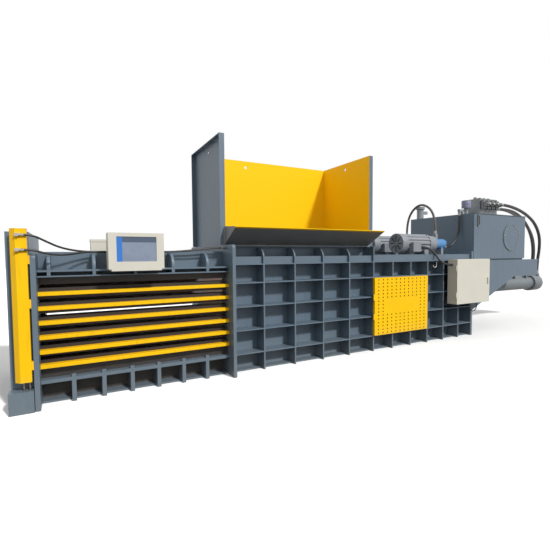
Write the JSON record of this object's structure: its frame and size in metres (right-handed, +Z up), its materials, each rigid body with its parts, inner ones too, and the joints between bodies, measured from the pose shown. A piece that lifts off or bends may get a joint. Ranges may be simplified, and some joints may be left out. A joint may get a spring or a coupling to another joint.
{
  "type": "recycling baler",
  "caption": "Horizontal baling press with a flanged feed hopper, ribbed press box, slotted bale chamber with a hinged discharge door, a long ram cylinder and a raised oil tank.",
  "frame": {"origin": "on the floor, on the centre plane, in the middle of the thick frame plate between the bale chamber and the feed opening", "axes": "+X towards the ram cylinder (the bale leaves at -X), +Z up, -Y towards the operator"},
  "size_m": [11.5048, 2.01, 3.3],
  "materials": {
    "blue_paint": "semi-gloss grey-blue machine paint",
    "yellow_paint": "semi-gloss signal yellow machine paint",
    "bare_steel": "mill-finished plate",
    "chrome_rod": "hard chrome",
    "cylinder_grey": "grey primer on tube",
    "fitting_metal": "zinc-plated fittings",
    "motor_paint": "grey motor enamel",
    "fan_plastic": "moulded plastic",
    "cream_paint": "textured powder coat",
    "screen": "tinted cover",
    "hose_rubber": "black rubber cover"
  },
  "bodies": {
    "frame": {"base_block": "blue_paint", "cabinet_cable": "hose_rubber", "cabinet_loop_cable": "hose_rubber", "chamber_beams_far": "blue_paint", "chamber_beams_near": "blue_paint", "chamber_gussets": "blue_paint", "chamber_rails": "blue_paint", "chamber_roof": "blue_paint", "console_box": "cream_paint", "console_screen": "screen", "cross_ribs_far": "blue_paint", "cross_ribs_near": "blue_paint", "cylinder_barrel": "cylinder_grey", "cylinder_cap": "cylinder_grey", "discharge_frame": "blue_paint", "electrical_cabinet": "cream_paint", "floor_plate": "blue_paint", "hinge_brackets": "blue_paint", "hopper_back_wall": "yellow_paint", "hopper_curb": "blue_paint", "hopper_left_wall": "yellow_paint", "hopper_lip": "yellow_paint", "hopper_right_wall": "yellow_paint", "inspection_cover": "blue_paint", "junction_box": "blue_paint", "lock_hose_lower": "hose_rubber", "lock_hose_upper": "hose_rubber", "lock_housing": "yellow_paint", "main_hose_inner": "hose_rubber", "main_hose_middle": "hose_rubber", "main_hose_outer": "hose_rubber", "mid_frame": "blue_paint", "motor_deck": "blue_paint", "motor_far": "motor_paint", "motor_near": "motor_paint", "oil_tank": "blue_paint", "pump_far": "motor_paint", "pump_loop_hose": "hose_rubber", "pump_near": "motor_paint", "rear_frame": "blue_paint", "side_wall_far": "blue_paint", "side_wall_near": "blue_paint", "suction_hose": "hose_rubber", "tank_brackets": "blue_paint", "tank_fittings": "fitting_metal", "tie_bars_far": "yellow_paint", "tie_bars_near": "yellow_paint", "underframe": "blue_paint", "upright_ribs_far": "blue_paint", "upright_ribs_near": "blue_paint", "valve_block": "fitting_metal"},
    "ram": {"ram_platen": "bare_steel", "ram_box": "bare_steel", "piston_rod": "chrome_rod"},
    "door": {"discharge_door": "blue_paint"},
    "lock": {"lock_bar": "bare_steel"},
    "access_cover_body": {"access_cover": "yellow_paint"},
    "cabinet_door_body": {"cabinet_door": "cream_paint"},
    "fan_near": {"motor_fan_near": "fan_plastic"},
    "fan_far": {"motor_fan_far": "fan_plastic"}
  },
  "joints": [
    {"name": "ram_slide", "type": "slide", "parent": "frame", "child": "ram", "axis": [-1, 0, 0], "range_m": [0, 2.7]},
    {"name": "door_hinge", "type": "hinge", "parent": "frame", "child": "door", "pos_m": [-2.3895, 0.88, 1], "axis": [0, 0, -1], "range_deg": [0, 110]},
    {"name": "lock_slide", "type": "slide", "parent": "frame", "child": "lock", "axis": [0, 0, -1], "range_m": [0, 0.09]},
    {"name": "access_cover_hinge", "type": "hinge", "parent": "frame", "child": "access_cover_body", "pos_m": [2.542, -0.8395, 0.75], "axis": [0, 0, -1], "range_deg": [0, 110]},
    {"name": "cabinet_door_hinge", "type": "hinge", "parent": "frame", "child": "cabinet_door_body", "pos_m": [4.395, -1.019, 1.1], "axis": [0, 0, -1], "range_deg": [0, 110]},
    {"name": "fan_near_spin", "type": "hinge", "parent": "frame", "child": "fan_near", "pos_m": [3.5, -0.47, 1.835], "axis": [1, 0, 0], "continuous": true},
    {"name": "fan_far_spin", "type": "hinge", "parent": "frame", "child": "fan_far", "pos_m": [3.5, 0.25, 1.835], "axis": [1, 0, 0], "continuous": true}
  ]
}
